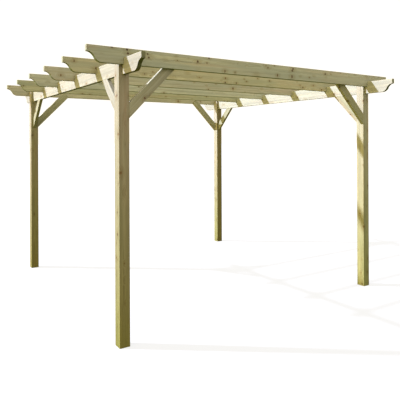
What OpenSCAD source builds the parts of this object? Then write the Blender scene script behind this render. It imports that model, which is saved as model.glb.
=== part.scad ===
// Free-standing wooden garden pergola.
// Four slotted posts carry two side beams. Six rafters are notched over the beams.
// Eight diagonal knee braces stiffen the corners.
// X runs along the rafters, Y along the side beams with the front at -Y, and Z is up.
// The origin is on the ground at the centre of the four posts.

/* [Plan] */
// Distance between post centres along the rafters
span_x = 2960; // [2000:10:3600]
// Distance between post centres along the side beams
span_y = 2824; // [2000:1:3600]
// How far a rafter reaches past the post centres at each end
rafter_reach = 320; // [200:10:500]
// How far a side beam reaches past the post centres at each end
beam_reach = 388; // [250:1:600]

/* [Height] */
// Height of the side beams' underside above the ground
beam_z = 2165; // [1900:5:2600]
// Depth of the notch in a rafter where it sits over a side beam
notch_h = 55; // [25:5:65]

/* [Timber] */
// Width of a square post
post_w = 90; // [70:5:120]
// Depth of a rafter or a side beam
board_h = 130; // [110:5:180]
// Thickness of every rafter, side beam and brace
board_t = 34; // [20:1:45]
// Width of a knee brace
brace_w = 85; // [60:5:110]
// Radius of the eased long edges
arris_r = 3; // [1:0.5:5]
// Play at each side of a board in a post slot or a rafter notch
board_play = 0.5; // [0.2:0.1:2]

/* [Knee braces] */
// Distance from the side beams' underside down to the brace feet
brace_drop = 345; // [250:5:500]
// How far the lower corner of a cross brace's top end rises above the rafters' underside
brace_lap = 5; // [0:1:40]

/* [Scroll ends] */
// Height of the upright nose at the tip of a board
nose_h = 50; // [30:5:70]
// Length of the scroll measured along the board
scroll_run = 128; // [110:1:160]

/* [Hidden] */
$fn = 96;

// Each corner is a name and its signs along X and Y
CORNERS = [
    ["front_left", [-1, -1]],
    ["front_right", [1, -1]],
    ["back_left", [-1, 1]],
    ["back_right", [1, 1]]
];
// Each side beam is a name and its sign along X
BEAMS = [["left_beam", -1], ["right_beam", 1]];
RAFTERS = [
    "front_rafter", "second_rafter", "third_rafter",
    "fourth_rafter", "fifth_rafter", "back_rafter"
];

// How far a cutting shape runs past the wood that it cuts
over = 1;
slot_w = board_t + 2 * board_play;
beam_top = beam_z + board_h;
rafter_z = beam_top - notch_h;
rafter_l = span_x + 2 * rafter_reach;
beam_l = span_y + 2 * beam_reach;
foot_z = beam_z - brace_drop;
// The outer rafters lie against the outer faces of the posts
rafter_pitch = (span_y + post_w + board_t) / (len(RAFTERS) - 1);
front_rafter_y = -(span_y + post_w + board_t) / 2;

// The scroll is two equal arcs, a hollow and then a round, level where each one ends
scroll_drop = board_h - nose_h;
scroll_angle = 2 * atan2(scroll_drop, scroll_run);
scroll_r = scroll_run / 2 / sin(scroll_angle);

// A rectangle, centred, with eased corners
module eased_section(w, h) {
    square([w - 2 * arris_r, h], center = true);
    square([w, h - 2 * arris_r], center = true);
    for (x = [-1, 1], y = [-1, 1])
        translate([x * (w / 2 - arris_r), y * (h / 2 - arris_r)])
            circle(r = arris_r);
}

// A bar along +X from the origin, centred across Y, with its underside at Z = 0
module eased_bar(length, thick, high) {
    translate([0, 0, high / 2])
        rotate([90, 0, 90])
            linear_extrude(length)
                eased_section(thick, high);
}

// The wood cut away under the scroll, drawn inwards from a nose at X = 0
module scroll_cut() {
    difference() {
        union() {
            translate([-over, -over])
                square([scroll_run + over, scroll_drop / 2 + over]);
            intersection() {
                translate([-over, 0])
                    square([over + scroll_run / 2, scroll_drop + over]);
                translate([0, scroll_drop - scroll_r])
                    circle(r = scroll_r);
            }
        }
        translate([scroll_run, scroll_r])
            circle(r = scroll_r);
    }
}

// A board along X, centred in X and Y, with a scroll at both ends
module scrolled_board(length) {
    difference() {
        translate([-length / 2, 0, 0])
            eased_bar(length, board_t, board_h);
        for (turn = [0, 180])
            rotate([0, 0, turn])
                translate([-length / 2, board_t / 2 + over, 0])
                    rotate([90, 0, 0])
                        linear_extrude(board_t + 2 * over)
                            scroll_cut();
    }
}

// A rafter over its two notches, with its underside at Z = 0
module rafter_board() {
    difference() {
        scrolled_board(rafter_l);
        for (x = [-1, 1])
            translate([x * span_x / 2 - slot_w / 2, -board_t / 2 - over, -over])
                cube([slot_w, board_t + 2 * over, notch_h + over]);
    }
}

// A brace in the XZ plane that rises at 45 degrees from the upright face at X = 0
module brace_bar(rise) {
    difference() {
        rotate([0, -45, 0])
            eased_bar(rise * sqrt(2), board_t, brace_w);
        translate([-brace_w, -board_t, 0])
            cube([brace_w, 2 * board_t, 2 * brace_w]);
    }
}

// Places a front left piece at any corner by mirroring it
module at_corner(signs) {
    mirror([signs[0] > 0 ? 1 : 0, 0, 0])
        mirror([0, signs[1] > 0 ? 1 : 0, 0])
            translate([-span_x / 2, -span_y / 2, 0])
                children();
}

module post(signs) {
    color([0.50, 0.48, 0.26])
        at_corner(signs)
            difference() {
                linear_extrude(beam_top)
                    eased_section(post_w, post_w);
                translate([-slot_w / 2, -post_w / 2 - over, beam_z])
                    cube([slot_w, post_w + 2 * over, board_h + over]);
            }
}

module beam(side) {
    color([0.72, 0.70, 0.50])
        translate([side * span_x / 2, 0, beam_z])
            rotate([0, 0, 90])
                scrolled_board(beam_l);
}

module rafter(index) {
    color([0.60, 0.58, 0.42])
        translate([0, front_rafter_y + index * rafter_pitch, rafter_z])
            rafter_board();
}

// From the post's inner face up behind the outer rafter, flush with the post's outer face
module cross_brace(signs) {
    color([0.56, 0.53, 0.32])
        at_corner(signs)
            translate([post_w / 2, (board_t - post_w) / 2, foot_z])
                brace_bar(rafter_z + brace_lap - foot_z);
}

// From the post's inner face up to the underside of the side beam
module side_brace(signs) {
    color([0.64, 0.61, 0.38])
        at_corner(signs)
            difference() {
                translate([0, post_w / 2, foot_z])
                    rotate([0, 0, 90])
                        brace_bar(brace_drop + brace_w);
                translate([-board_t, 0, beam_z])
                    cube([2 * board_t, 2 * brace_drop + brace_w, 2 * brace_w]);
            }
}

for (corner = CORNERS) {
    post(corner[1]);
    cross_brace(corner[1]);
    side_brace(corner[1]);
}
for (side_beam = BEAMS)
    beam(side_beam[1]);
for (index = [0 : len(RAFTERS) - 1])
    rafter(index);
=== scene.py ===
"""Looks of the free-standing wooden pergola: treated softwood, screw heads, pale floor and soft light."""

import math
import random

import bmesh
import bpy
from mathutils import Matrix, Vector


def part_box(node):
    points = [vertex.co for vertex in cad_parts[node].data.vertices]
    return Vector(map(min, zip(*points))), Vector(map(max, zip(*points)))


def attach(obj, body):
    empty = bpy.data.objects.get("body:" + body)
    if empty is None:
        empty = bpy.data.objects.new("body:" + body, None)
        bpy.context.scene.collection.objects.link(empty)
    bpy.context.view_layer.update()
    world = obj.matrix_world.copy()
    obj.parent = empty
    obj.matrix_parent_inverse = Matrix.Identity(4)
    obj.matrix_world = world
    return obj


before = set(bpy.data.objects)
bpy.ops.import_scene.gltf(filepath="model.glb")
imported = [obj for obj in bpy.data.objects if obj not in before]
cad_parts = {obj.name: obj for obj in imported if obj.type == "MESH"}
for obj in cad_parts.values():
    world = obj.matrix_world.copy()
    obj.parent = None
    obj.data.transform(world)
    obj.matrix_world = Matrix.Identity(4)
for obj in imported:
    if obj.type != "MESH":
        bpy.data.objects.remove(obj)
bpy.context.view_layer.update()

# Each corner's signs along X and Y
CORNERS = {"front_left": (-1, -1), "front_right": (1, -1), "back_left": (-1, 1), "back_right": (1, 1)}
RAFTERS = ("front_rafter", "second_rafter", "third_rafter", "fourth_rafter", "fifth_rafter", "back_rafter")
BEAMS = ("left_beam", "right_beam")
TO_SUN = Vector((-0.63, 0.46, 0.63))
# First seeds of the random draws for posts and braces, for boards, and for screws
CORNER_SEED, BOARD_SEED, SCREW_SEED = 100, 200, 300
SLOPE = math.sqrt(0.5)    # a brace's share of its length along each axis, at 45 degrees


# ---------------------------------------------------------------------------------------------
# Shader graph helpers
# ---------------------------------------------------------------------------------------------
MIX_FACTOR, MIX_A, MIX_B, MIX_RESULT = 0, 6, 7, 2    # the sockets of a Mix node that mix colours


class Graph:
    """Adds nodes to a tree. A value may be a socket, a number or a tuple."""

    def __init__(self, tree):
        self.tree = tree

    def node(self, kind, **settings):
        made = self.tree.nodes.new(kind)
        for name, value in settings.items():
            setattr(made, name, value)
        return made

    def feed(self, socket, value):
        if isinstance(value, bpy.types.NodeSocket):
            self.tree.links.new(value, socket)
        else:
            socket.default_value = value

    def feed_named(self, node, values):
        for name, value in values.items():
            self.feed(node.inputs[name], value)

    def math(self, operation, *values):
        made = self.node("ShaderNodeMath", operation=operation)
        for socket, value in zip(made.inputs, values):
            self.feed(socket, value)
        return made.outputs[0]

    def vector(self, operation, *values):
        made = self.node("ShaderNodeVectorMath", operation=operation)
        for socket, value in zip(made.inputs, values):
            self.feed(socket, value)
        return made.outputs["Value" if operation in ("DOT_PRODUCT", "LENGTH") else "Vector"]

    def split(self, vector):
        made = self.node("ShaderNodeSeparateXYZ")
        self.feed(made.inputs[0], vector)
        return made.outputs

    def join(self, x, y, z):
        made = self.node("ShaderNodeCombineXYZ")
        for socket, value in zip(made.inputs, (x, y, z)):
            self.feed(socket, value)
        return made.outputs[0]

    def grey(self, value):
        return self.join(value, value, value)

    def noise(self, vector, stretch, detail=2.0, roughness=0.5, shift=(0.0, 0.0, 0.0)):
        """Noise with about as many lumps to the unit along each axis as stretch says."""
        made = self.node("ShaderNodeTexNoise", noise_dimensions="3D")
        moved = self.vector("MULTIPLY", self.vector("ADD", vector, shift), stretch)
        self.feed_named(made, {"Vector": moved, "Scale": 1.0, "Detail": detail, "Roughness": roughness})
        return made.outputs["Fac"]

    def spread(self, value, low, high, to_low=0.0, to_high=1.0, kind="SMOOTHSTEP"):
        """Takes low and high to to_low and to_high, and goes past neither."""
        made = self.node("ShaderNodeMapRange", interpolation_type=kind, clamp=True)
        for socket, given in zip(made.inputs, (value, low, high, to_low, to_high)):
            self.feed(socket, given)
        return made.outputs[0]

    def between(self, value, start, end):
        """From start where the value is 0 to end where it is 1."""
        return self.math("MULTIPLY_ADD", value, end - start, start)

    def sway(self, value, width):
        return self.between(value, -width / 2, width / 2)

    def ramp(self, value, stops):
        made = self.node("ShaderNodeValToRGB")
        elements = made.color_ramp.elements
        while len(elements) < len(stops):
            elements.new(0.5)
        for element, (position, level) in zip(elements, stops):
            element.position = position
            element.color = (level, level, level, 1.0)
        self.feed(made.inputs[0], value)
        return made.outputs["Color"]

    def mix(self, factor, a, b, blend="MIX"):
        made = self.node("ShaderNodeMix", data_type="RGBA", blend_type=blend)
        for socket, value in ((MIX_FACTOR, factor), (MIX_A, a), (MIX_B, b)):
            self.feed(made.inputs[socket], value)
        return made.outputs[MIX_RESULT]

    def tint(self, a, b):
        return self.mix(1.0, a, b, "MULTIPLY")

    def tint_where(self, factor, colour, tint):
        return self.mix(factor, colour, self.tint(colour, tint))

    def bump(self, strength, distance, height):
        made = self.node("ShaderNodeBump")
        self.feed_named(made, {"Strength": strength, "Distance": distance, "Height": height})
        return made.outputs[0]


def rgb(red, green, blue):
    return (red, green, blue, 1.0)


# ---------------------------------------------------------------------------------------------
# Timber: growth rings round the pith, knots that radiate from it, fibre, stains and checks
# ---------------------------------------------------------------------------------------------
# Lengths are in metres. A knot's own edges are distances from its middle in its radii.
NEAR_PITH = 0.001         # nothing is divided by a smaller radius

RING_WIDTH = 0.0042       # between two growth rings
RING_TAPER = 0.004        # how much further in the rings lie for each metre up the trunk
RING_WANDER = 0.034       # width of the rings' long bends
RING_RIPPLE = 0.0018      # width of their short ones
# Latewood through one ring, as place and amount
RING_PROFILE = ((0.0, 0.06), (0.40, 0.12), (0.84, 1.0), (0.92, 0.8), (1.0, 0.06))
RING_TONES = (0.93, 1.07)
LATEWOOD_SHOWS = 0.55
RINGS_PART = 1.15         # how far rings part at a knot, in its radii
RINGS_PART_FROM, RINGS_PART_TO = 0.3, 3.0    # where that starts to fade and where it ends

KNOT_EVERY = 0.16         # between whorls of branches, along the grain
KNOT_SCATTER = 0.9        # how unevenly knots lie, from 0 to 1
KNOT_RADIUS = 0.0135      # the largest a knot grows to
SMALLEST_KNOT = 0.28      # as a share of that
SIZE_BIAS = 1.6           # the higher, the fewer large knots
CELL_RADIUS = 0.09        # knot cells grow no wider beyond this distance from the pith
KNOT_WOBBLE = 0.7         # how far a knot's outline strays from round
EYE_WOBBLE = 0.6          # share of the wobble in the grain round a knot
DRAWN_OUT = (0.40, 1.0, 1.0)    # the grain round a knot is drawn out along the log
KNOT_EDGE = (0.86, 1.0)
HALO_EDGE = (0.9, 2.4)
HALO_AMOUNT = 0.42
HALO_TINT = rgb(0.70, 0.58, 0.40)
PALE_HEART = rgb(0.230, 0.145, 0.060)
DARK_HEART = rgb(0.105, 0.064, 0.032)
HEART_RINGS = 3.6         # rings in a knot
HEART_TONES = (1.12, 0.80)
RIM_COLOUR = rgb(0.050, 0.031, 0.022)
RIM_EDGE = (0.60, 0.94)
RIM_AMOUNTS = (0.2, 0.8)
RIM_LEAN = (0.35, 0.60, 0.15, 1.0)
SPLIT_COLOUR = rgb(0.030, 0.018, 0.015)
SPLIT_NOISE = (0.64, 0.69)    # noise levels from sound to split
SPLIT_EDGE = (0.55, 0.85)

CHECK_WIDTH = 0.0009      # half of what a check opens to
CHECK_OPENS = (0.54, 0.70)    # noise levels from shut to wide open
CHECK_DRIFT = 0.016       # width of a check's bends
CHECK_COLOUR = rgb(0.085, 0.065, 0.040)
CHECK_SHOWS = 0.72
CHECK_SHIFTS = {"First Check": (2.0, 5.0, 9.0), "Second Check": (21.0, 3.0, 14.0)}

# Patches: the noise levels between which one comes in, and for a tint its strength and colour
STAIN_NOISE = (0.42, 0.70)
BLUSH_NOISE, BLUSH_AMOUNT, BLUSH_TINT = (0.54, 0.74), 0.55, rgb(1.12, 0.91, 0.84)
CREAM_NOISE, CREAM_AMOUNT, CREAM_TINT = (0.55, 0.74), 0.6, rgb(1.14, 1.10, 0.96)
# Tones: a low and a high noise level, and the brightness at each
STREAK_TONES = (0.28, 0.72, 0.84, 1.14)
MOTTLE_TONES = (0.30, 0.70, 0.95, 1.05)
FIBRE_TONES = (0.25, 0.75, 0.90, 1.09)

SAWN_TINT = rgb(0.66, 0.70, 0.56)
SAWN_LATEWOOD = 0.35
SAWN_EDGE = (0.8, 1.0)    # how squarely an end faces along the grain before rays show
RAY_NOISE = 0.5           # a ray lies where the noise has this level
RAY_EDGE = (0.002, 0.012)    # and fades out as the noise leaves it
RAYS_START = (0.004, 0.012)    # from the pith
RAY_SHOWS = 0.8

ROUGHNESS = (0.60, 0.76)
KNOT_SMOOTHER, LATEWOOD_SMOOTHER = -0.16, -0.05
LATEWOOD_STANDS, FIBRE_STANDS, KNOT_STANDS, CHECK_SINKS = 0.35, 0.5, 0.5, -2.0
RELIEF_STRENGTH, RELIEF = 0.55, 0.0006

# Noise by what it draws: lumps to the metre along, across and through the grain, detail, roughness, shift
NOISES = {
    "knot edge": ((70.0, 70.0, 70.0),),
    "ring wander": ((0.55, 2.4, 2.4), 1.0, 0.4),
    "ring ripple": ((5.0, 40.0, 40.0),),
    "fibre": ((8.0, 520.0, 520.0), 3.0, 0.6),
    "streaks": ((0.7, 42.0, 42.0), 3.0, 0.55),
    "mottle": ((7.0, 34.0, 34.0), 2.0, 0.5, (3.0, 8.0, 2.0)),
    "stain": ((1.25, 11.0, 11.0),),
    "blush": ((0.95, 17.0, 17.0), 2.0, 0.5, (31.0, 7.0, 3.0)),
    "cream": ((0.8, 21.0, 21.0), 2.0, 0.5, (11.0, 23.0, 41.0)),
    "check drift": ((1.6, 1.0, 1.0), 3.0, 0.6, (5.0, 17.0, 29.0)),
    "check opening": ((1.9, 7.0, 7.0), 1.0, 0.5),
}
# The same for noise that goes by direction
DIRECTION_NOISES = {
    "rim lean": ((1.3, 1.3, 1.3), 0.0, 0.5, (4.0, 9.0, 6.0)),
    "heart splits": ((3.2, 3.2, 3.2), 0.0),
    "end rays": ((5.0, 5.0, 5.0), 1.0, 0.5),
}


def branch_knots(g, seeded, seed, crowd, along, across, through, radius):
    """Branches leave the pith in cells along the grain and round it, as many to the radian as crowd says.

    Returns the distance from a branch's middle in its own radii, the same stretched along the grain,
    the branch's radius, its three random levels, and the direction from its middle."""
    safe_radius = g.math("MAXIMUM", radius, NEAR_PITH)
    seeds = g.split(seed)
    cell = g.join(
        g.math("MULTIPLY_ADD", along, 1 / KNOT_EVERY, seeds[0]),
        g.math("MULTIPLY_ADD", g.math("DIVIDE", across, safe_radius), crowd, seeds[1]),
        g.math("MULTIPLY_ADD", g.math("DIVIDE", through, safe_radius), crowd, seeds[2]),
    )
    branches = g.node("ShaderNodeTexVoronoi", voronoi_dimensions="3D", feature="F1")
    g.feed_named(branches, {"Vector": cell, "Scale": 1.0, "Randomness": KNOT_SCATTER})
    reach = g.math("DIVIDE", g.math("MINIMUM", radius, CELL_RADIUS), crowd)
    away = g.vector(
        "MULTIPLY",
        g.vector("SUBTRACT", cell, branches.outputs["Position"]),
        g.join(KNOT_EVERY, reach, reach),
    )
    levels = g.split(branches.outputs["Color"])
    share = g.between(g.math("POWER", levels[0], SIZE_BIAS), SMALLEST_KNOT, 1.0)
    size = g.math("MULTIPLY", share, KNOT_RADIUS)
    wobble = g.sway(g.noise(seeded, *NOISES["knot edge"]), KNOT_WOBBLE)
    distance = g.math("ADD", g.math("DIVIDE", g.vector("LENGTH", away), size), wobble)
    stretched = g.math("DIVIDE", g.vector("LENGTH", g.vector("MULTIPLY", away, DRAWN_OUT)), size)
    eye = g.math("ADD", stretched, g.math("MULTIPLY", wobble, EYE_WOBBLE))
    return distance, eye, size, levels, g.vector("NORMALIZE", away)


def growth_rings(g, seeded, along, radius, eye, size):
    """Latewood from 0 to 1, and one tone for each ring. Rings wander along the trunk and part round knots."""
    grown = g.math("MULTIPLY_ADD", along, RING_TAPER, radius)
    for part in (
        g.math("MULTIPLY", g.spread(eye, RINGS_PART_FROM, RINGS_PART_TO, RINGS_PART, 0.0), size),
        g.sway(g.noise(seeded, *NOISES["ring wander"]), RING_WANDER),
        g.sway(g.noise(seeded, *NOISES["ring ripple"]), RING_RIPPLE),
    ):
        grown = g.math("ADD", grown, part)
    rings = g.math("DIVIDE", grown, RING_WIDTH)
    latewood = g.ramp(g.math("FRACT", rings), RING_PROFILE)
    ring = g.node("ShaderNodeTexWhiteNoise", noise_dimensions="1D")
    g.feed(ring.inputs["W"], g.math("FLOOR", rings))
    return latewood, ring.outputs["Value"]


def stained_wood(g, given, seeded, latewood, ring, fibre):
    """Rings, streaks and fibre, then grey-green preservative, pinkish heartwood and cream sapwood."""
    body = g.mix(g.math("MULTIPLY", latewood, LATEWOOD_SHOWS), given["Pale"], given["Dark"])
    for tone in (
        g.between(ring, *RING_TONES),
        g.spread(g.noise(seeded, *NOISES["streaks"]), *STREAK_TONES, "LINEAR"),
        g.spread(g.noise(seeded, *NOISES["mottle"]), *MOTTLE_TONES, "LINEAR"),
        g.spread(fibre, *FIBRE_TONES, "LINEAR"),
    ):
        body = g.tint(body, g.grey(tone))
    patch = g.spread(g.noise(seeded, *NOISES["stain"]), *STAIN_NOISE)
    body = g.mix(g.math("MULTIPLY", patch, given["Stain Amount"]), body, given["Stain"])
    for name, edges, amount, tint in (
        ("blush", BLUSH_NOISE, BLUSH_AMOUNT, BLUSH_TINT),
        ("cream", CREAM_NOISE, CREAM_AMOUNT, CREAM_TINT),
    ):
        patch = g.spread(g.noise(seeded, *NOISES[name]), *edges)
        body = g.tint_where(g.math("MULTIPLY", patch, amount), body, tint)
    return body


def knot_colour(g, body, distance, eye, levels, direction):
    """Lays the knots over the wood: a soft halo along the grain, a rim, rings, and splits from the heart.

    Returns the colour, where a knot is, and where it has split."""
    mask = g.spread(distance, *KNOT_EDGE, 1.0, 0.0)
    body = g.tint_where(g.math("MULTIPLY", g.spread(eye, *HALO_EDGE, 1.0, 0.0), HALO_AMOUNT), body, HALO_TINT)
    heart = g.mix(levels[2], PALE_HEART, DARK_HEART)
    ring = g.math("FRACT", g.math("MULTIPLY", distance, HEART_RINGS))
    heart = g.tint(heart, g.grey(g.between(ring, *HEART_TONES)))
    lean = g.spread(g.noise(direction, *DIRECTION_NOISES["rim lean"]), *RIM_LEAN)
    rim = g.math("MULTIPLY", g.spread(distance, *RIM_EDGE), g.between(levels[1], *RIM_AMOUNTS))
    heart = g.mix(g.math("MULTIPLY", rim, lean), heart, RIM_COLOUR)
    spokes = g.spread(g.noise(direction, *DIRECTION_NOISES["heart splits"]), *SPLIT_NOISE)
    split = g.math("MULTIPLY", spokes, g.spread(distance, *SPLIT_EDGE, 1.0, 0.0))
    heart = g.mix(split, heart, SPLIT_COLOUR)
    return g.mix(mask, body, heart), mask, g.math("MULTIPLY", split, mask)


def open_checks(g, given, seeded, outwards):
    """Where the wood has split along the grain: two planes through the pith, open here and there."""
    drift = g.sway(g.noise(seeded, *NOISES["check drift"]), CHECK_DRIFT)
    check = 0.0
    for name, shift in CHECK_SHIFTS.items():
        off = g.math("ABSOLUTE", g.math("ADD", g.vector("DOT_PRODUCT", outwards, given[name]), drift))
        opening = g.noise(seeded, *NOISES["check opening"], shift)
        gape = g.spread(opening, *CHECK_OPENS, 0.0, CHECK_WIDTH, "LINEAR")
        check = g.math("MAXIMUM", check, g.math("LESS_THAN", off, gape))
    return check


def end_rays(g, given, outwards, radius):
    """Where a sawn end has opened in rays from the pith."""
    spoke = g.noise(g.vector("NORMALIZE", outwards), *DIRECTION_NOISES["end rays"], given["Seed"])
    ray = g.spread(g.math("ABSOLUTE", g.math("SUBTRACT", spoke, RAY_NOISE)), *RAY_EDGE, 1.0, 0.0)
    sawn = g.math("MULTIPLY", g.spread(radius, *RAYS_START), g.spread(given["End Grain"], *SAWN_EDGE))
    return g.math("MULTIPLY", ray, sawn)


def timber_group():
    """One group for every piece. Its Vector has X along the grain, and Y = Z = 0 on the centreline."""
    group = bpy.data.node_groups.new("timber", "ShaderNodeTree")
    for in_out, kind, names in (
        ("INPUT", "NodeSocketVector", ("Vector", "Pith", "Seed", "First Check", "Second Check")),
        ("INPUT", "NodeSocketColor", ("Pale", "Dark", "Stain", "Tint")),
        ("INPUT", "NodeSocketFloat", ("Knots Round", "Stain Amount", "End Grain")),
        ("OUTPUT", "NodeSocketColor", ("Color",)),
        ("OUTPUT", "NodeSocketFloat", ("Roughness",)),
        ("OUTPUT", "NodeSocketVector", ("Normal",)),
    ):
        for name in names:
            group.interface.new_socket(name, in_out=in_out, socket_type=kind)
    g = Graph(group)
    given = g.node("NodeGroupInput").outputs
    out = g.node("NodeGroupOutput").inputs

    seeded = g.vector("ADD", given["Vector"], given["Seed"])
    along, across, through = g.split(g.vector("SUBTRACT", given["Vector"], given["Pith"]))
    outwards = g.join(0.0, across, through)
    radius = g.vector("LENGTH", outwards)
    distance, eye, size, levels, direction = branch_knots(
        g, seeded, given["Seed"], given["Knots Round"], along, across, through, radius
    )
    latewood, ring = growth_rings(g, seeded, along, radius, eye, size)
    fibre = g.noise(seeded, *NOISES["fibre"])
    body = stained_wood(g, given, seeded, latewood, ring, fibre)
    body, knot, split = knot_colour(g, body, distance, eye, levels, direction)

    # Sawn ends soak up more preservative
    sawn = g.mix(g.math("MULTIPLY", latewood, SAWN_LATEWOOD), body, given["Dark"])
    body = g.mix(given["End Grain"], body, g.tint(sawn, SAWN_TINT))
    check = g.math("MULTIPLY", open_checks(g, given, seeded, outwards), g.math("SUBTRACT", 1.0, knot))
    ray = g.math("MULTIPLY", end_rays(g, given, outwards, radius), RAY_SHOWS)
    check = g.math("MAXIMUM", check, ray)
    body = g.mix(g.math("MULTIPLY", check, CHECK_SHOWS), body, CHECK_COLOUR)
    g.feed(out["Color"], g.tint(body, given["Tint"]))

    shine = g.math("MULTIPLY_ADD", knot, KNOT_SMOOTHER, g.between(fibre, *ROUGHNESS))
    g.feed(out["Roughness"], g.math("MULTIPLY_ADD", latewood, LATEWOOD_SMOOTHER, shine))

    height = g.math("MULTIPLY_ADD", latewood, LATEWOOD_STANDS, g.math("MULTIPLY", fibre, FIBRE_STANDS))
    height = g.math("MULTIPLY_ADD", g.math("MAXIMUM", check, split), CHECK_SINKS, height)
    height = g.math("MULTIPLY_ADD", knot, KNOT_STANDS, height)
    g.feed(out["Normal"], g.bump(RELIEF_STRENGTH, RELIEF, height))
    return group


TIMBER = timber_group()

# Colours in linear light, by material slot: pale earlywood, dark latewood, grey-green stain and its amount
WOODS = {
    "post": (rgb(0.320, 0.290, 0.205), rgb(0.215, 0.178, 0.100), rgb(0.225, 0.232, 0.140), 0.40),
    "beam": (rgb(0.330, 0.322, 0.245), rgb(0.235, 0.210, 0.140), rgb(0.250, 0.270, 0.205), 0.30),
    "rafter": (rgb(0.490, 0.480, 0.375), rgb(0.345, 0.320, 0.215), rgb(0.330, 0.365, 0.300), 0.50),
    "cross_brace": (rgb(0.395, 0.390, 0.270), rgb(0.280, 0.250, 0.150), rgb(0.280, 0.310, 0.205), 0.45),
    "side_brace": (rgb(0.300, 0.292, 0.182), rgb(0.210, 0.188, 0.102), rgb(0.225, 0.248, 0.152), 0.40),
}
# Knot cells per radian round the pith
KNOTS_ROUND = {"post": 0.95, "beam": 1.35, "rafter": 1.6, "cross_brace": 1.2, "side_brace": 1.2}
SPECULAR = 0.28
SEED_SPAN = 90            # metres of the noise's space that pieces are drawn from
STAIN_VARIES = (0.7, 1.3)

# How single pieces differ from their slot's colour
PIECE_TINTS = {
    "front_left_post": (0.94, 0.96, 1.01),
    "front_right_post": (1.15, 1.18, 1.22),
    "back_left_post": (1.07, 1.06, 1.10),
    "back_right_post": (1.14, 1.17, 1.26),
    "right_beam": (1.12, 1.16, 1.18),
    "front_rafter": (0.96, 1.00, 1.08),
    "second_rafter": (1.12, 1.09, 1.03),
    "third_rafter": (1.13, 1.13, 1.22),
    "fourth_rafter": (1.12, 1.18, 1.30),
    "fifth_rafter": (1.04, 1.06, 0.96),
    "back_rafter": (1.09, 1.07, 1.08),
    "front_left_cross_brace": (0.97, 0.95, 1.12),
    "front_right_cross_brace": (0.85, 0.85, 0.80),
    "front_left_side_brace": (1.01, 1.00, 1.25),
}
# Below, a FACING pair is the two cosines between which a look comes in as a face turns, or goes out.
# Painted shade: faces turned from the sun are painted a little darker and greener, some pieces more than
# others
SHADE_SIDE_TINT = (0.93, 0.91, 0.76)
PIECE_SHADE_SIDE_TINTS = {
    "front_left_post": (1.14, 1.04, 1.01),
    "front_right_post": (0.99, 1.01, 0.95),
    "back_left_post": (0.88, 0.86, 0.64),
    "back_right_post": (0.65, 0.57, 0.32),
}
SHADE_SIDE_FACING = (-0.45, 0.15)
# Painted shade: boards' undersides, above all their scrolls, are painted darker and greener still
UNDERSIDE_SHADE_TINT = (0.56, 0.62, 0.42)
UNDERSIDE_SHADE_FACING = (-0.12, -0.50)
# Painted darkening of the tops and backs that face the key light: they are painted darker and warmer against
# its glare
SUN_SIDE_DIMMING_TINTS = {
    "post": (0.92, 0.90, 0.76),
    "beam": (0.86, 0.83, 0.68),
    "rafter": (0.66, 0.64, 0.50),
    "cross_brace": (0.84, 0.82, 0.68),
    "side_brace": (0.90, 0.88, 0.80),
}
TOWARDS_SUN_SIDE = (0.0, 0.59, 0.81)
SUN_SIDE_FACING = (0.25, 0.55)
# A post turns darker and more olive from its top to its foot
FOOT_TINT = (0.60, 0.63, 0.29)
PIECE_FOOT_TINTS = {
    "front_left_post": (0.53, 0.56, 0.18),
    "back_left_post": (0.53, 0.54, 0.20),
}
# A board is darker towards its ends, from one share of its half length to the other
END_TINT = (0.88, 0.87, 0.88)
END_STARTS, END_FULL = 0.70, 0.88
SAWN_FACING = (0.20, 0.95)

# How far off the centreline the pith may lie. A post holds its pith, and a board was sawn from beside it.
POST_PITH = 0.014
BRACE_PITH_ACROSS, BRACE_PITH_OFF = 0.05, (0.045, 0.09)
BOARD_PITH_ACROSS, BOARD_PITH_OFF = 0.06, (0.05, 0.10)


def piece_tint(g, node, slot, box, grain, place, local, normal):
    """The piece's own tint, with painted shade on the faces turned from the sun and on undersides, painted
    darkening of the sunlit tops and backs, darker ends, and a post's darker foot.
    """
    low, high = box
    # Painted shade: faces turned from the sun are painted darker and greener
    shade_side = g.spread(g.vector("DOT_PRODUCT", normal, tuple(TO_SUN)), *SHADE_SIDE_FACING, 1.0, 0.0)
    tint = g.mix(shade_side, rgb(1.0, 1.0, 1.0), rgb(*PIECE_SHADE_SIDE_TINTS.get(node, SHADE_SIDE_TINT)))
    tint = g.tint(tint, rgb(*PIECE_TINTS.get(node, (1.0, 1.0, 1.0))))
    if slot in ("beam", "rafter"):
        # Painted shade: faces turned downwards are painted darker and greener
        tint = g.tint_where(g.spread(g.split(normal)[2], *UNDERSIDE_SHADE_FACING), tint, rgb(*UNDERSIDE_SHADE_TINT))
        reach = (high - low).dot(grain) / 2
        from_middle = g.math("ABSOLUTE", g.split(local)[0])
        near_end = g.spread(from_middle, END_STARTS * reach, END_FULL * reach)
        tint = g.tint_where(near_end, tint, rgb(*END_TINT))
    # Painted darkening: the tops and backs that face the key light are painted darker and warmer
    sun_side = g.spread(g.vector("DOT_PRODUCT", normal, TOWARDS_SUN_SIDE), *SUN_SIDE_FACING)
    tint = g.tint_where(sun_side, tint, rgb(*SUN_SIDE_DIMMING_TINTS[slot]))
    if slot == "post":
        depth = g.spread(g.split(place)[2], high.z, low.z, kind="LINEAR")
        tint = g.tint_where(depth, tint, rgb(*PIECE_FOOT_TINTS.get(node, FOOT_TINT)))
    return tint


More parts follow.
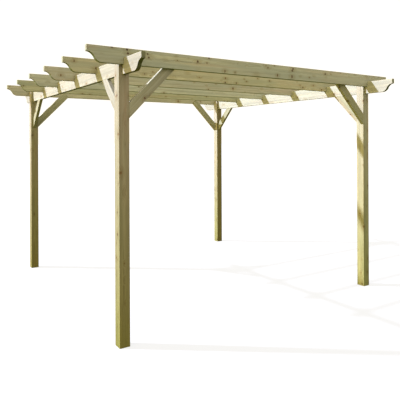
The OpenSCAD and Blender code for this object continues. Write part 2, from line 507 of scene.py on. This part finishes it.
def timber_material(node, slot, grain, across, pith, dice):
    """The timber of one piece, with its own log, place in the log and patches."""
    material = bpy.data.materials.new(f"timber_{node}")
    material.use_nodes = True
    tree = material.node_tree
    tree.nodes.clear()
    g = Graph(tree)
    low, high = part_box(node)
    grain = Vector(grain).normalized()
    across = Vector(across).normalized()
    place = g.node("ShaderNodeTexCoord").outputs["Object"]
    centred = g.vector("SUBTRACT", place, tuple((low + high) / 2))
    axes = (grain, across, grain.cross(across))
    local = g.join(*(g.vector("DOT_PRODUCT", centred, tuple(axis)) for axis in axes))
    normal = g.node("ShaderNodeNewGeometry").outputs["Normal"]
    end_grain = g.spread(g.math("ABSOLUTE", g.vector("DOT_PRODUCT", normal, tuple(grain))), *SAWN_FACING)
    pale, dark, stain, amount = WOODS[slot]
    wood = g.node("ShaderNodeGroup", node_tree=TIMBER)
    g.feed_named(wood, {
        "Vector": local,
        "Pith": (0.0, *pith),
        "Seed": (dice.uniform(0, SEED_SPAN), dice.uniform(0, SEED_SPAN), dice.uniform(0, SEED_SPAN)),
        "Knots Round": KNOTS_ROUND[slot],
        "First Check": check_plane(dice),
        "Second Check": check_plane(dice),
        "Pale": pale,
        "Dark": dark,
        "Stain": stain,
        "Stain Amount": amount * dice.uniform(*STAIN_VARIES),
        "Tint": piece_tint(g, node, slot, (low, high), grain, place, local, normal),
        "End Grain": end_grain,
    })
    shader = g.node("ShaderNodeBsdfPrincipled")
    shader.inputs["Specular IOR Level"].default_value = SPECULAR
    g.feed(shader.inputs["Base Color"], wood.outputs["Color"])
    g.feed(shader.inputs["Roughness"], wood.outputs["Roughness"])
    g.feed(shader.inputs["Normal"], wood.outputs["Normal"])
    g.feed(g.node("ShaderNodeOutputMaterial").inputs["Surface"], shader.outputs[0])
    return material


def check_plane(dice):
    """The normal of a plane that holds the pith."""
    turn = dice.uniform(0, math.pi)
    return (0.0, math.cos(turn), math.sin(turn))


def pith_beside(dice, across, off):
    return (dice.uniform(-across, across), dice.choice((-1, 1)) * dice.uniform(*off))


def finish_node(node, slot, grain, across, pith, dice):
    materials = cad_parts[node].data.materials
    materials.clear()
    materials.append(timber_material(node, slot, grain, across, pith, dice))


def finish_timber():
    """Gives every carried-over piece its own timber."""
    for number, (corner, (side, depth)) in enumerate(CORNERS.items()):
        dice = random.Random(CORNER_SEED + number)
        pith = (dice.uniform(-POST_PITH, POST_PITH), dice.uniform(-POST_PITH, POST_PITH))
        finish_node(f"{corner}_post", "post", (0, 0, 1), (1, 0, 0), pith, dice)
        for kind, grain, across in (
            ("cross_brace", (-side * SLOPE, 0, SLOPE), (SLOPE, 0, side * SLOPE)),
            ("side_brace", (0, -depth * SLOPE, SLOPE), (0, SLOPE, depth * SLOPE)),
        ):
            pith = pith_beside(dice, BRACE_PITH_ACROSS, BRACE_PITH_OFF)
            finish_node(f"{corner}_{kind}", kind, grain, across, pith, dice)
    for number, node in enumerate((*BEAMS, *RAFTERS)):
        dice = random.Random(BOARD_SEED + number)
        pith = pith_beside(dice, BOARD_PITH_ACROSS, BOARD_PITH_OFF)
        slot, grain = ("beam", (0, 1, 0)) if node in BEAMS else ("rafter", (1, 0, 0))
        finish_node(node, slot, grain, (0, 0, 1), pith, dice)


# ---------------------------------------------------------------------------------------------
# Screws: a countersunk head at each joint, a hair proud of the wood
# ---------------------------------------------------------------------------------------------
HEAD_SIDES = 28
HEAD_RADIUS = 0.0043      # metres
HEAD_PROUD = 0.0006       # metres that a head stands above the wood
SHOULDER = 0.45           # share of that where the bevel starts
CROWN = 0.88              # the flat top's share of the head's radius
RECESS_ARM = 0.0021       # metres from the middle of a head to the tip of its cross recess
RECESS_HALF = 0.0006      # metres, half the width of the recess's arms
RECESS_TAPER = 0.8        # size of the recess's floor as a share of its mouth
RECESS_LEVEL = 0.12       # height of that floor as a share of HEAD_PROUD

# Metres from a joint's middle line, or from a brace's end, to its screws
TONGUE_ACROSS, TONGUE_UP = 0.019, 0.028
END_SETBACK = 0.034
# The cross brace's two top screws, back from its end and up from its underside
TOP_SCREWS = ((0.022, 0.044), (0.030, 0.068))

STEEL_BRIGHT, STEEL_DULL = rgb(0.46, 0.44, 0.38), rgb(0.27, 0.25, 0.19)
STEEL_ROUGHNESS = (0.28, 0.58)
STEEL_METALLIC = 0.9
STEEL_BLOOM = (0.4, 0.7)
BLOOM_NOISE = ((260.0, 260.0, 260.0), 2.0)
SCRATCH_NOISE = ((900.0, 900.0, 900.0), 3.0, 0.6)
SCRATCH_STRENGTH, SCRATCH_DEPTH = 0.3, 0.0001


def screw_head(shape, place, outward, turn):
    """Adds one head to the bmesh: a bevelled disc with a cross recess, facing outward."""
    cross = []
    for x, y in ((1, 0), (0, 1), (-1, 0), (0, -1)):
        # Each arm's two tips, then the inner corner before the next arm
        tip, half = Vector((x, y)) * RECESS_ARM, Vector((-y, x)) * RECESS_HALF
        corner = Vector((x, y)) * RECESS_HALF
        cross += [tip - half, tip + half, corner + half]
    angles = [2 * math.pi * step / HEAD_SIDES for step in range(HEAD_SIDES)]
    circle = [(math.cos(angle), math.sin(angle)) for angle in angles]
    seat = Matrix.Translation(place) @ Vector(outward).to_track_quat("Z", "Y").to_matrix().to_4x4()
    seat = seat @ Matrix.Rotation(turn, 4, "Z")

    def loop(points, scale, height):
        return [shape.verts.new(seat @ Vector((x * scale, y * scale, height))) for x, y in points]

    def wall(lower, upper):
        for step in range(len(lower)):
            following = (step + 1) % len(lower)
            shape.faces.new((lower[step], lower[following], upper[following], upper[step]))

    foot = loop(circle, HEAD_RADIUS, 0.0)
    shoulder = loop(circle, HEAD_RADIUS, HEAD_PROUD * SHOULDER)
    crown = loop(circle, HEAD_RADIUS * CROWN, HEAD_PROUD)
    mouth = loop(cross, 1.0, HEAD_PROUD)
    floor = loop(cross, RECESS_TAPER, HEAD_PROUD * RECESS_LEVEL)
    wall(foot, shoulder)
    wall(shoulder, crown)
    wall(mouth, floor)
    shape.faces.new(floor)
    shape.faces.new(list(reversed(foot)))
    rims = []
    for ring in (crown, mouth):
        for step, vertex in enumerate(ring):
            rims.append(shape.edges.get((vertex, ring[(step + 1) % len(ring)])))
    bmesh.ops.triangle_fill(shape, edges=rims, use_beauty=True, normal=Vector(outward))


def screw_places(corner, side, depth):
    """Where this corner's joints are screwed, each as a place and the way that its head faces."""
    up = Vector((0, 0, 1))
    inward = Vector((-side, 0, 0))
    post_low, post_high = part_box(f"{corner}_post")
    beam_low, beam_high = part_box("left_beam" if side < 0 else "right_beam")
    rafter_low, rafter_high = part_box("front_rafter" if depth < 0 else "back_rafter")
    middle = (post_low + post_high) / 2
    places = []

    # Outer rafter to the post, one screw in the middle of each tongue
    cheek = (rafter_low.z + post_high.z) / 2
    outer_y = rafter_low.y if depth < 0 else rafter_high.y
    for way in (-1, 1):
        x = middle.x + way * (beam_high.x - beam_low.x + post_high.x - post_low.x) / 4
        places.append((Vector((x, outer_y, cheek)), Vector((0, depth, 0))))

    # Inner tongue of the post to the beam
    inner_x = post_high.x if side < 0 else post_low.x
    for way in (-1, 1):
        z = (beam_low.z + beam_high.z) / 2 + way * TONGUE_UP
        places.append((Vector((inner_x, middle.y + way * TONGUE_ACROSS, z)), inward))

    # Feet of both braces, and the top of the side brace, each through the underside
    for kind, out in (("cross_brace", inward), ("side_brace", Vector((0, -depth, 0)))):
        low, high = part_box(f"{corner}_{kind}")
        axis = 0 if kind == "cross_brace" else 1
        start = (low + high) / 2
        start[axis] = low[axis] if out[axis] > 0 else high[axis]
        start.z = low.z
        rise = (out + up) * SLOPE
        faces = (out - up) * SLOPE
        places.append((start + rise * END_SETBACK, faces))
        if kind == "side_brace":
            run = (beam_low.z - low.z) / SLOPE
            places.append((start + rise * (run - END_SETBACK), faces))
        else:
            # The cross brace's top, through its inner side into the rafter
            length = (high[axis] - low[axis]) / SLOPE
            lift = (up - out) * SLOPE
            for back, above in TOP_SCREWS:
                place = start + rise * (length - back) + lift * above
                place.y = high.y if depth < 0 else low.y
                places.append((place, Vector((0, -depth, 0))))
    return places


def steel_material():
    """Zinc-plated steel, dulled by weather, with fine scratches."""
    material = bpy.data.materials.new("screw_steel")
    material.use_nodes = True
    g = Graph(material.node_tree)
    shader = material.node_tree.nodes["Principled BSDF"]
    place = g.node("ShaderNodeTexCoord").outputs["Object"]
    scratches = g.noise(place, *SCRATCH_NOISE)
    bloom = g.spread(g.noise(place, *BLOOM_NOISE), *STEEL_BLOOM)
    g.feed(shader.inputs["Base Color"], g.mix(bloom, STEEL_BRIGHT, STEEL_DULL))
    g.feed(shader.inputs["Roughness"], g.between(scratches, *STEEL_ROUGHNESS))
    g.feed(shader.inputs["Normal"], g.bump(SCRATCH_STRENGTH, SCRATCH_DEPTH, scratches))
    shader.inputs["Metallic"].default_value = STEEL_METALLIC
    return material


def add_screws():
    """One piece for each corner's screw heads."""
    steel = steel_material()
    for number, (corner, (side, depth)) in enumerate(CORNERS.items()):
        dice = random.Random(SCREW_SEED + number)
        mesh = bpy.data.meshes.new(f"{corner}_screws")
        shape = bmesh.new()
        for place, outward in screw_places(corner, side, depth):
            screw_head(shape, place, outward, dice.uniform(0, math.pi / 2))
        bmesh.ops.recalc_face_normals(shape, faces=shape.faces)
        shape.to_mesh(mesh)
        shape.free()
        mesh.materials.append(steel)
        heads = bpy.data.objects.new(f"{corner}_screws", mesh)
        bpy.context.scene.collection.objects.link(heads)
        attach(heads, "root")


# ---------------------------------------------------------------------------------------------
# Stage: floor, light and camera
# ---------------------------------------------------------------------------------------------
FLOOR_HALF = 400.0        # metres
# Sun lamps: which way they lie, energy, colour, and degrees across
LAMPS = {
    "key": (TO_SUN, 11.9, (0.70, 0.72, 0.97), 2.0),
    "fill": (Vector((-1.0, -0.05, 0.12)), 2.4, (1.0, 0.77, 0.16), 80.0),
}
SKY_COLOUR, GROUND_COLOUR = rgb(1.16, 1.10, 1.02), rgb(0.20, 0.20, 0.03)
HORIZON = (-0.06, 0.0)    # heights between which one turns into the other

CAMERA_PLACE = (-3.014, -4.874, 1.629)
CAMERA_TURN, CAMERA_ROLL = 32.05, -0.24    # degrees, from +Y towards +X, and about the line of sight
CAMERA_LENS, CAMERA_SENSOR = 42.13, 36.0
CAMERA_SHIFT = (0.0274, -0.1451)


def stage_floor():
    """A plain pale floor that is just past white in the light and pale in shadow, so edges stay clean."""
    mesh = bpy.data.meshes.new("floor")
    shape = bmesh.new()
    bmesh.ops.create_grid(shape, x_segments=1, y_segments=1, size=FLOOR_HALF)
    shape.to_mesh(mesh)
    shape.free()
    floor = bpy.data.objects.new("floor", mesh)
    bpy.context.scene.collection.objects.link(floor)
    material = bpy.data.materials.new("pale_floor")
    material.use_nodes = True
    shader = material.node_tree.nodes["Principled BSDF"]
    for name, value in (
        ("Base Color", rgb(0.12, 0.12, 0.12)),
        ("Emission Color", rgb(1.0, 1.0, 1.0)),
        ("Emission Strength", 0.78),
        ("Roughness", 0.9),
        ("Specular IOR Level", 0.1),
    ):
        shader.inputs[name].default_value = value
    mesh.materials.append(material)
    # The floor doesn't throw light up, so undersides stay in shade as they do over grass
    floor.visible_diffuse = False
    floor.visible_glossy = False


def studio_light():
    """A key from the left, behind and above, a warm fill from the left, and a white surround, dim below."""
    for name, (towards, energy, colour, across) in LAMPS.items():
        light = bpy.data.lights.new(name, "SUN")
        light.energy = energy
        light.color = colour
        light.angle = math.radians(across)
        lamp = bpy.data.objects.new(name, light)
        lamp.rotation_euler = towards.to_track_quat("Z", "Y").to_euler()
        bpy.context.scene.collection.objects.link(lamp)
    world = bpy.data.worlds.new("studio")
    bpy.context.scene.world = world
    world.use_nodes = True
    tree = world.node_tree
    tree.nodes.clear()
    g = Graph(tree)
    height = g.split(g.node("ShaderNodeTexCoord").outputs["Generated"])[2]
    surround = g.node("ShaderNodeBackground")
    g.feed(surround.inputs["Color"], g.mix(g.spread(height, *HORIZON), GROUND_COLOUR, SKY_COLOUR))
    g.feed(g.node("ShaderNodeOutputWorld").inputs["Surface"], surround.outputs[0])


def place_camera():
    """Eye height, outside the front left corner, level, with the view shifted down to take in the feet."""
    turn, roll = math.radians(CAMERA_TURN), math.radians(CAMERA_ROLL)
    forward = Vector((math.sin(turn), math.cos(turn), 0))
    level = Vector((math.cos(turn), -math.sin(turn), 0))
    up = Vector((0, 0, 1))
    right = level * math.cos(roll) + up * math.sin(roll)
    top = up * math.cos(roll) - level * math.sin(roll)
    camera = bpy.data.cameras.new("camera")
    camera.lens, camera.sensor_width = CAMERA_LENS, CAMERA_SENSOR
    camera.shift_x, camera.shift_y = CAMERA_SHIFT
    eye = bpy.data.objects.new("camera", camera)
    x, y, z = CAMERA_PLACE
    eye.matrix_world = Matrix((
        (right.x, top.x, -forward.x, x),
        (right.y, top.y, -forward.y, y),
        (right.z, top.z, -forward.z, z),
        (0, 0, 0, 1),
    ))
    bpy.context.scene.collection.objects.link(eye)
    bpy.context.scene.camera = eye


finish_timber()
add_screws()
stage_floor()
studio_light()
place_camera()
bpy.context.scene.view_settings.view_transform = "Standard"
